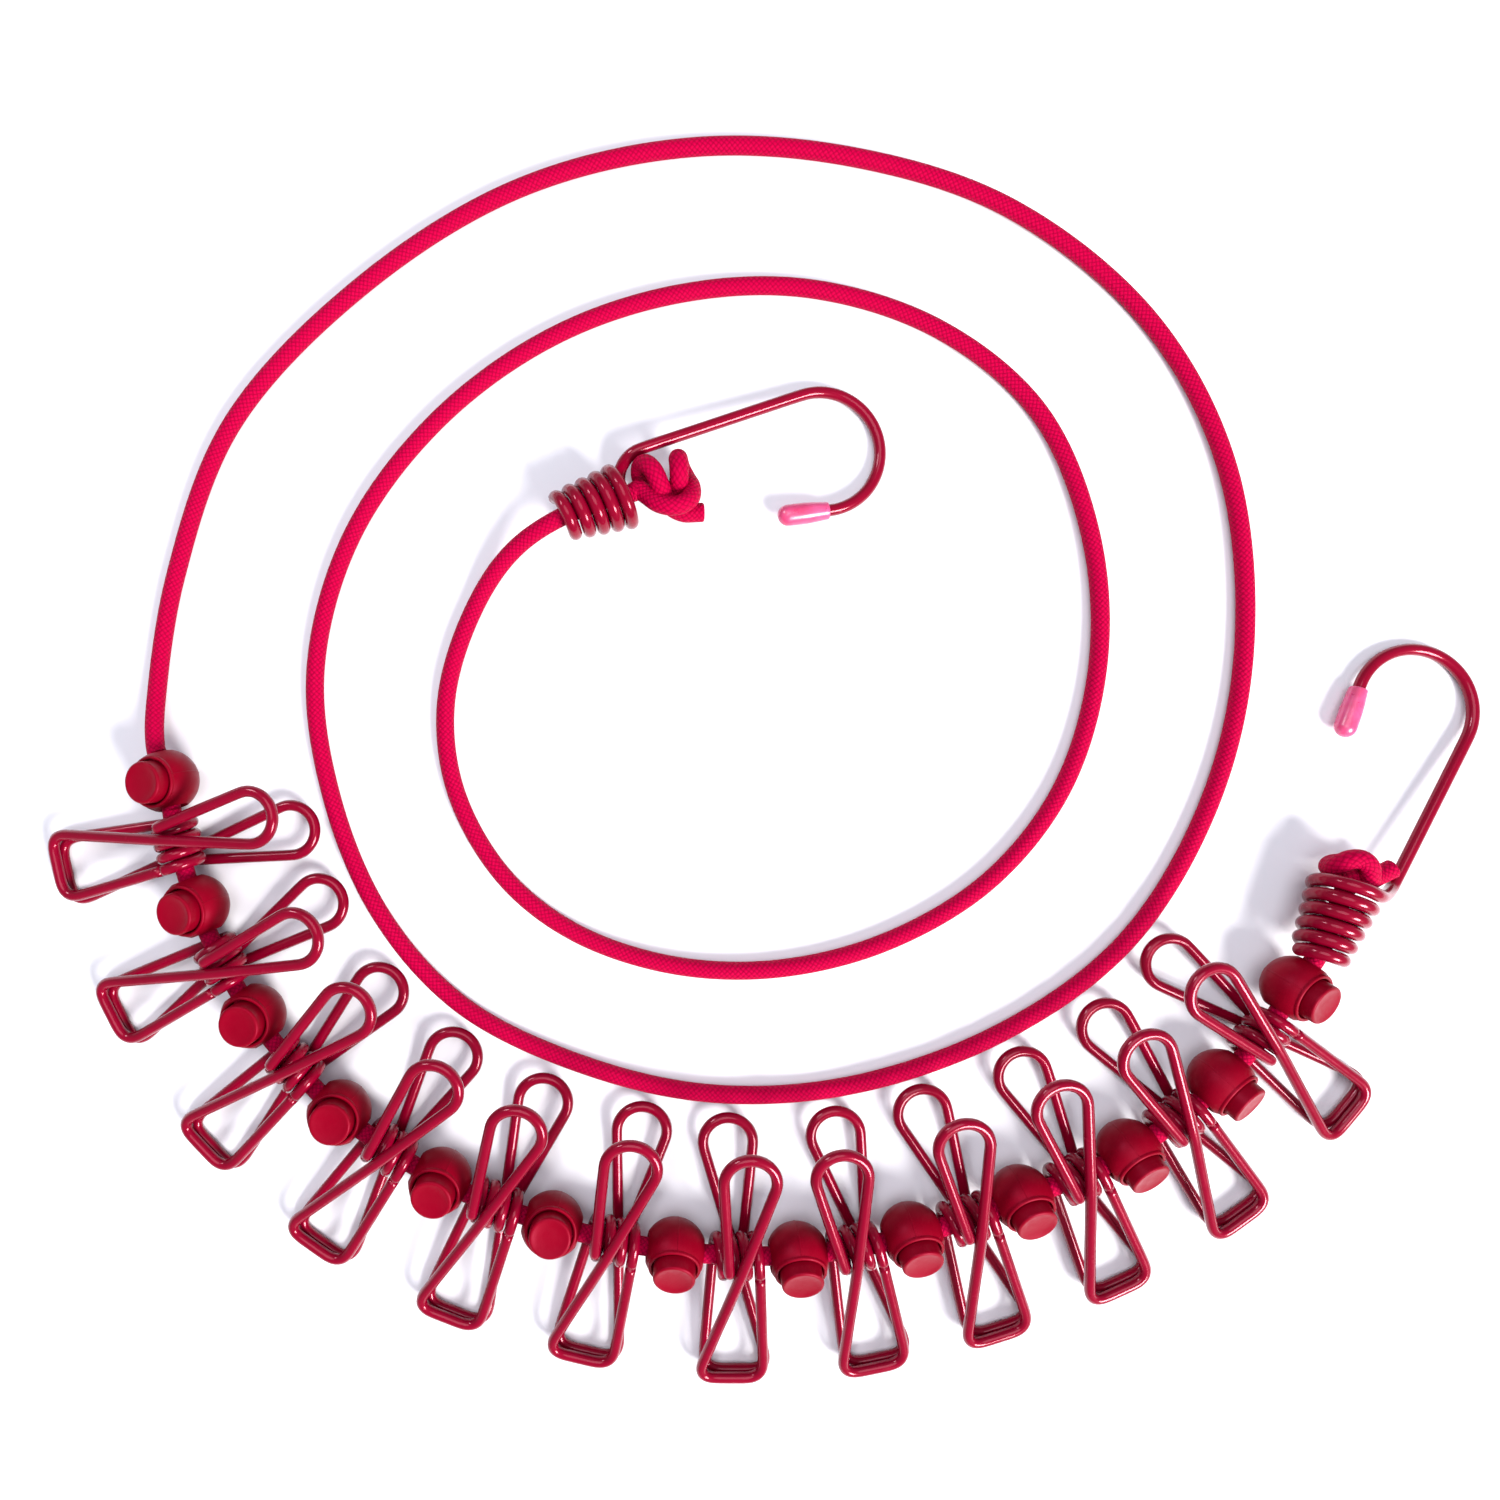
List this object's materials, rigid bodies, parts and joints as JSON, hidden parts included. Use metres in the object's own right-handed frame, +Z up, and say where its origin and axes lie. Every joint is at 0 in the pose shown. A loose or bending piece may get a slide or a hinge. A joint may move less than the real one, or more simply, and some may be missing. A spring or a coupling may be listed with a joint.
{
  "type": "travel clothesline",
  "caption": "Elastic cord with a wire hook knotted on each end, and spring clips and push-button ball stops threaded in turn along one stretch.",
  "frame": {"origin": "middle of the laid-out hooks, clips and stops, on the floor that they lie on", "axes": "+Z up from the floor; +X along the layout's longer side, from the first clip towards the outer hook; +Y from the clips towards the inner hook"},
  "size_m": [0.3322, 0.2892, 0.0237],
  "materials": {
    "cord": "braided, satin",
    "wire": "glossy plastic coating",
    "stop": "satin, moulded",
    "tip": "soft translucent vinyl"
  },
  "bodies": {
    "line": {"elastic_cord": "cord", "inner_knot": "cord", "outer_knot": "cord"},
    "inner_hook": {"inner_hook": "wire", "inner_hook_tip": "tip"},
    "outer_hook": {"outer_hook": "wire", "outer_hook_tip": "tip"},
    "clip_01_lower": {"clip_01_lower_frame": "wire"},
    "clip_01_upper": {"clip_01_upper_frame": "wire"},
    "clip_02_lower": {"clip_02_lower_frame": "wire"},
    "clip_02_upper": {"clip_02_upper_frame": "wire"},
    "clip_03_lower": {"clip_03_lower_frame": "wire"},
    "clip_03_upper": {"clip_03_upper_frame": "wire"},
    "clip_04_lower": {"clip_04_lower_frame": "wire"},
    "clip_04_upper": {"clip_04_upper_frame": "wire"},
    "clip_05_lower": {"clip_05_lower_frame": "wire"},
    "clip_05_upper": {"clip_05_upper_frame": "wire"},
    "clip_06_lower": {"clip_06_lower_frame": "wire"},
    "clip_06_upper": {"clip_06_upper_frame": "wire"},
    "clip_07_lower": {"clip_07_lower_frame": "wire"},
    "clip_07_upper": {"clip_07_upper_frame": "wire"},
    "clip_08_lower": {"clip_08_lower_frame": "wire"},
    "clip_08_upper": {"clip_08_upper_frame": "wire"},
    "clip_09_lower": {"clip_09_lower_frame": "wire"},
    "clip_09_upper": {"clip_09_upper_frame": "wire"},
    "clip_10_lower": {"clip_10_lower_frame": "wire"},
    "clip_10_upper": {"clip_10_upper_frame": "wire"},
    "clip_11_lower": {"clip_11_lower_frame": "wire"},
    "clip_11_upper": {"clip_11_upper_frame": "wire"},
    "clip_12_lower": {"clip_12_lower_frame": "wire"},
    "clip_12_upper": {"clip_12_upper_frame": "wire"},
    "stop_01": {"stop_01_body": "stop"},
    "stop_01_button": {"stop_01_button": "stop"},
    "stop_02": {"stop_02_body": "stop"},
    "stop_02_button": {"stop_02_button": "stop"},
    "stop_03": {"stop_03_body": "stop"},
    "stop_03_button": {"stop_03_button": "stop"},
    "stop_04": {"stop_04_body": "stop"},
    "stop_04_button": {"stop_04_button": "stop"},
    "stop_05": {"stop_05_body": "stop"},
    "stop_05_button": {"stop_05_button": "stop"},
    "stop_06": {"stop_06_body": "stop"},
    "stop_06_button": {"stop_06_button": "stop"},
    "stop_07": {"stop_07_body": "stop"},
    "stop_07_button": {"stop_07_button": "stop"},
    "stop_08": {"stop_08_body": "stop"},
    "stop_08_button": {"stop_08_button": "stop"},
    "stop_09": {"stop_09_body": "stop"},
    "stop_09_button": {"stop_09_button": "stop"},
    "stop_10": {"stop_10_body": "stop"},
    "stop_10_button": {"stop_10_button": "stop"},
    "stop_11": {"stop_11_body": "stop"},
    "stop_11_button": {"stop_11_button": "stop"},
    "stop_12": {"stop_12_body": "stop"},
    "stop_12_button": {"stop_12_button": "stop"},
    "stop_13": {"stop_13_body": "stop"},
    "stop_13_button": {"stop_13_button": "stop"}
  },
  "joints": [
    {"name": "inner_hook_swivel", "type": "hinge", "parent": "line", "child": "inner_hook", "pos_m": [-0.0324, 0.0895, 0.00815], "axis": [0.9346, 0.3383, -0.1097], "range_deg": [-120, 120]},
    {"name": "outer_hook_swivel", "type": "hinge", "parent": "line", "child": "outer_hook", "pos_m": [0.1305, 0.0005, 0.0092], "axis": [0.4134, 0.907, -0.0802], "range_deg": [-120, 120]},
    {"name": "clip_01_squeeze", "type": "hinge", "parent": "clip_01_lower", "child": "clip_01_upper", "pos_m": [-0.13518, 0.00958, 0.00815], "axis": [-0.213, 0.977, 0], "range_deg": [0, 26], "stiffness_Nm_per_rad": 0.05, "springref_deg": -20.05},
    {"name": "clip_01_swing", "type": "hinge", "parent": "line", "child": "clip_01_lower", "pos_m": [-0.13518, 0.00958, 0.00815], "axis": [0.213, -0.977, 0], "continuous": true},
    {"name": "clip_02_squeeze", "type": "hinge", "parent": "clip_02_lower", "child": "clip_02_upper", "pos_m": [-0.12512, -0.01732, 0.00815], "axis": [-0.4458, 0.8951, 0], "range_deg": [0, 26], "stiffness_Nm_per_rad": 0.05, "springref_deg": -20.05},
    {"name": "clip_02_swing", "type": "hinge", "parent": "line", "child": "clip_02_lower", "pos_m": [-0.12512, -0.01732, 0.00815], "axis": [0.4458, -0.8951, 0], "continuous": true},
    {"name": "clip_03_squeeze", "type": "hinge", "parent": "clip_03_lower", "child": "clip_03_upper", "pos_m": [-0.10877, -0.04096, 0.00815], "axis": [-0.6827, 0.7307, 0], "range_deg": [0, 26], "stiffness_Nm_per_rad": 0.05, "springref_deg": -20.05},
    {"name": "clip_03_swing", "type": "hinge", "parent": "line", "child": "clip_03_lower", "pos_m": [-0.10877, -0.04096, 0.00815], "axis": [0.6827, -0.7307, 0], "continuous": true},
    {"name": "clip_04_squeeze", "type": "hinge", "parent": "clip_04_lower", "child": "clip_04_upper", "pos_m": [-0.08739, -0.05983, 0.00815], "axis": [-0.8144, 0.5804, 0], "range_deg": [0, 26], "stiffness_Nm_per_rad": 0.05, "springref_deg": -20.05},
    {"name": "clip_04_swing", "type": "hinge", "parent": "line", "child": "clip_04_lower", "pos_m": [-0.08739, -0.05983, 0.00815], "axis": [0.8144, -0.5804, 0], "continuous": true},
    {"name": "clip_05_squeeze", "type": "hinge", "parent": "clip_05_lower", "child": "clip_05_upper", "pos_m": [-0.06301, -0.07265, 0.00815], "axis": [-0.931, 0.3651, 0], "range_deg": [0, 26], "stiffness_Nm_per_rad": 0.05, "springref_deg": -20.05},
    {"name": "clip_05_swing", "type": "hinge", "parent": "line", "child": "clip_05_lower", "pos_m": [-0.06301, -0.07265, 0.00815], "axis": [0.931, -0.3651, 0], "continuous": true},
    {"name": "clip_06_squeeze", "type": "hinge", "parent": "clip_06_lower", "child": "clip_06_upper", "pos_m": [-0.03615, -0.08068, 0.00815], "axis": [-0.972, 0.2351, 0], "range_deg": [0, 26], "stiffness_Nm_per_rad": 0.05, "springref_deg": -20.05},
    {"name": "clip_06_swing", "type": "hinge", "parent": "line", "child": "clip_06_lower", "pos_m": [-0.03615, -0.08068, 0.00815], "axis": [0.972, -0.2351, 0], "continuous": true},
    {"name": "clip_07_squeeze", "type": "hinge", "parent": "clip_07_lower", "child": "clip_07_upper", "pos_m": [-0.00802, -0.0842, 0.00815], "axis": [-1, 0.0095, 0], "range_deg": [0, 26], "stiffness_Nm_per_rad": 0.05, "springref_deg": -20.05},
    {"name": "clip_07_swing", "type": "hinge", "parent": "line", "child": "clip_07_lower", "pos_m": [-0.00802, -0.0842, 0.00815], "axis": [1, -0.0095, 0], "continuous": true},
    {"name": "clip_08_squeeze", "type": "hinge", "parent": "clip_08_lower", "child": "clip_08_upper", "pos_m": [0.01912, -0.08244, 0.00815], "axis": [-0.9805, -0.1963, 0], "range_deg": [0, 26], "stiffness_Nm_per_rad": 0.05, "springref_deg": -20.05},
    {"name": "clip_08_swing", "type": "hinge", "parent": "line", "child": "clip_08_lower", "pos_m": [0.01912, -0.08244, 0.00815], "axis": [0.9805, 0.1963, 0], "continuous": true},
    {"name": "clip_09_squeeze", "type": "hinge", "parent": "clip_09_lower", "child": "clip_09_upper", "pos_m": [0.04473, -0.07591, 0.00815], "axis": [-0.9549, -0.297, 0], "range_deg": [0, 26], "stiffness_Nm_per_rad": 0.05, "springref_deg": -20.05},
    {"name": "clip_09_swing", "type": "hinge", "parent": "line", "child": "clip_09_lower", "pos_m": [0.04473, -0.07591, 0.00815], "axis": [0.9549, 0.297, 0], "continuous": true},
    {"name": "clip_10_squeeze", "type": "hinge", "parent": "clip_10_lower", "child": "clip_10_upper", "pos_m": [0.06953, -0.06639, 0.00815], "axis": [-0.9121, -0.4099, 0], "range_deg": [0, 26], "stiffness_Nm_per_rad": 0.05, "springref_deg": -20.05},
    {"name": "clip_10_swing", "type": "hinge", "parent": "line", "child": "clip_10_lower", "pos_m": [0.06953, -0.06639, 0.00815], "axis": [0.9121, 0.4099, 0], "continuous": true},
    {"name": "clip_11_squeeze", "type": "hinge", "parent": "clip_11_lower", "child": "clip_11_upper", "pos_m": [0.09242, -0.05306, 0.00815], "axis": [-0.811, -0.585, 0], "range_deg": [0, 26], "stiffness_Nm_per_rad": 0.05, "springref_deg": -20.05},
    {"name": "clip_11_swing", "type": "hinge", "parent": "line", "child": "clip_11_lower", "pos_m": [0.09242, -0.05306, 0.00815], "axis": [0.811, 0.585, 0], "continuous": true},
    {"name": "clip_12_squeeze", "type": "hinge", "parent": "clip_12_lower", "child": "clip_12_upper", "pos_m": [0.11131, -0.03418, 0.00847], "axis": [-0.6292, -0.7769, -0.024], "range_deg": [0, 26], "stiffness_Nm_per_rad": 0.05, "springref_deg": -20.05},
    {"name": "clip_12_swing", "type": "hinge", "parent": "line", "child": "clip_12_lower", "pos_m": [0.11131, -0.03418, 0.00847], "axis": [0.6292, 0.7769, 0.024], "continuous": true},
    {"name": "stop_01_press", "type": "slide", "parent": "stop_01", "child": "stop_01_button", "axis": [0.3345, 0.02, -0.9422], "range_m": [0, 0.0015], "stiffness_N_per_m": 200, "springref_m": -0.004},
    {"name": "stop_01_roll", "type": "hinge", "parent": "line", "child": "stop_01", "pos_m": [-0.138, 0.024, 0.00815], "axis": [0.2939, -0.9521, 0.0841], "continuous": true},
    {"name": "stop_02_press", "type": "slide", "parent": "stop_02", "child": "stop_02_button", "axis": [0.3354, 0.1263, -0.9336], "range_m": [0, 0.0015], "stiffness_N_per_m": 200, "springref_m": -0.004},
    {"name": "stop_02_roll", "type": "hinge", "parent": "line", "child": "stop_02", "pos_m": [-0.131, -0.0045, 0.00815], "axis": [0.3524, -0.9358, 0], "continuous": true},
    {"name": "stop_03_press", "type": "slide", "parent": "stop_03", "child": "stop_03_button", "axis": [0.1431, 0.0984, -0.9848], "range_m": [0, 0.0015], "stiffness_N_per_m": 200, "springref_m": -0.004},
    {"name": "stop_03_roll", "type": "hinge", "parent": "line", "child": "stop_03", "pos_m": [-0.118, -0.0295, 0.00815], "axis": [0.5666, -0.824, 0], "continuous": true},
    {"name": "stop_04_press", "type": "slide", "parent": "stop_04", "child": "stop_04_button", "axis": [0.046, 0.0525, -0.9976], "range_m": [0, 0.0015], "stiffness_N_per_m": 200, "springref_m": -0.004},
    {"name": "stop_04_roll", "type": "hinge", "parent": "line", "child": "stop_04", "pos_m": [-0.0985, -0.0515, 0.00815], "axis": [0.7523, -0.6588, 0], "continuous": true},
    {"name": "stop_05_press", "type": "slide", "parent": "stop_05", "child": "stop_05_button", "axis": [0.1203, 0.2292, -0.9659], "range_m": [0, 0.0015], "stiffness_N_per_m": 200, "springref_m": -0.004},
    {"name": "stop_05_roll", "type": "hinge", "parent": "line", "child": "stop_05", "pos_m": [-0.0755, -0.067, 0.00815], "axis": [0.8854, -0.4648, 0], "continuous": true},
    {"name": "stop_06_press", "type": "slide", "parent": "stop_06", "child": "stop_06_button", "axis": [0.005, 0.0167, -0.9998], "range_m": [0, 0.0015], "stiffness_N_per_m": 200, "springref_m": -0.004},
    {"name": "stop_06_roll", "type": "hinge", "parent": "line", "child": "stop_06", "pos_m": [-0.05, -0.077, 0.00815], "axis": [0.9576, -0.2883, 0], "continuous": true},
    {"name": "stop_07_press", "type": "slide", "parent": "stop_07", "child": "stop_07_button", "axis": [0.0634, 0.5111, -0.8572], "range_m": [0, 0.0015], "stiffness_N_per_m": 200, "springref_m": -0.004},
    {"name": "stop_07_roll", "type": "hinge", "parent": "line", "child": "stop_07", "pos_m": [-0.022, -0.083, 0.00815], "axis": [0.9924, -0.1231, 0], "continuous": true},
    {"name": "stop_08_press", "type": "slide", "parent": "stop_08", "child": "stop_08_button", "axis": [-0.0369, 0.5434, -0.8387], "range_m": [0, 0.0015], "stiffness_N_per_m": 200, "springref_m": -0.004},
    {"name": "stop_08_roll", "type": "hinge", "parent": "line", "child": "stop_08", "pos_m": [0.006, -0.084, 0.00815], "axis": [0.9977, 0.0678, 0], "continuous": true},
    {"name": "stop_09_press", "type": "slide", "parent": "stop_09", "child": "stop_09_button", "axis": [-0.1381, 0.5419, -0.829], "range_m": [0, 0.0015], "stiffness_N_per_m": 200, "springref_m": -0.004},
    {"name": "stop_09_roll", "type": "hinge", "parent": "line", "child": "stop_09", "pos_m": [0.032, -0.0795, 0.00815], "axis": [0.969, 0.247, 0], "continuous": true},
    {"name": "stop_10_press", "type": "slide", "parent": "stop_10", "child": "stop_10_button", "axis": [-0.1951, 0.5085, -0.8387], "range_m": [0, 0.0015], "stiffness_N_per_m": 200, "springref_m": -0.004},
    {"name": "stop_10_roll", "type": "hinge", "parent": "line", "child": "stop_10", "pos_m": [0.057, -0.071, 0.00815], "axis": [0.9337, 0.3582, 0], "continuous": true},
    {"name": "stop_11_press", "type": "slide", "parent": "stop_11", "child": "stop_11_button", "axis": [-0.3371, 0.578, -0.7431], "range_m": [0, 0.0015], "stiffness_N_per_m": 200, "springref_m": -0.004},
    {"name": "stop_11_roll", "type": "hinge", "parent": "line", "child": "stop_11", "pos_m": [0.0815, -0.0605, 0.00815], "axis": [0.8638, 0.5038, 0], "continuous": true},
    {"name": "stop_12_press", "type": "slide", "parent": "stop_12", "child": "stop_12_button", "axis": [-0.5188, 0.5321, -0.6691], "range_m": [0, 0.0015], "stiffness_N_per_m": 200, "springref_m": -0.004},
    {"name": "stop_12_roll", "type": "hinge", "parent": "line", "child": "stop_12", "pos_m": [0.1025, -0.0445, 0.00815], "axis": [0.7083, 0.7058, 0.0121], "continuous": true},
    {"name": "stop_13_press", "type": "slide", "parent": "stop_13", "child": "stop_13_button", "axis": [-0.4333, 0.3589, -0.8267], "range_m": [0, 0.0015], "stiffness_N_per_m": 200, "springref_m": -0.004},
    {"name": "stop_13_roll", "type": "hinge", "parent": "line", "child": "stop_13", "pos_m": [0.119, -0.023, 0.0088], "axis": [0.5474, 0.8335, 0.0749], "continuous": true}
  ]
}
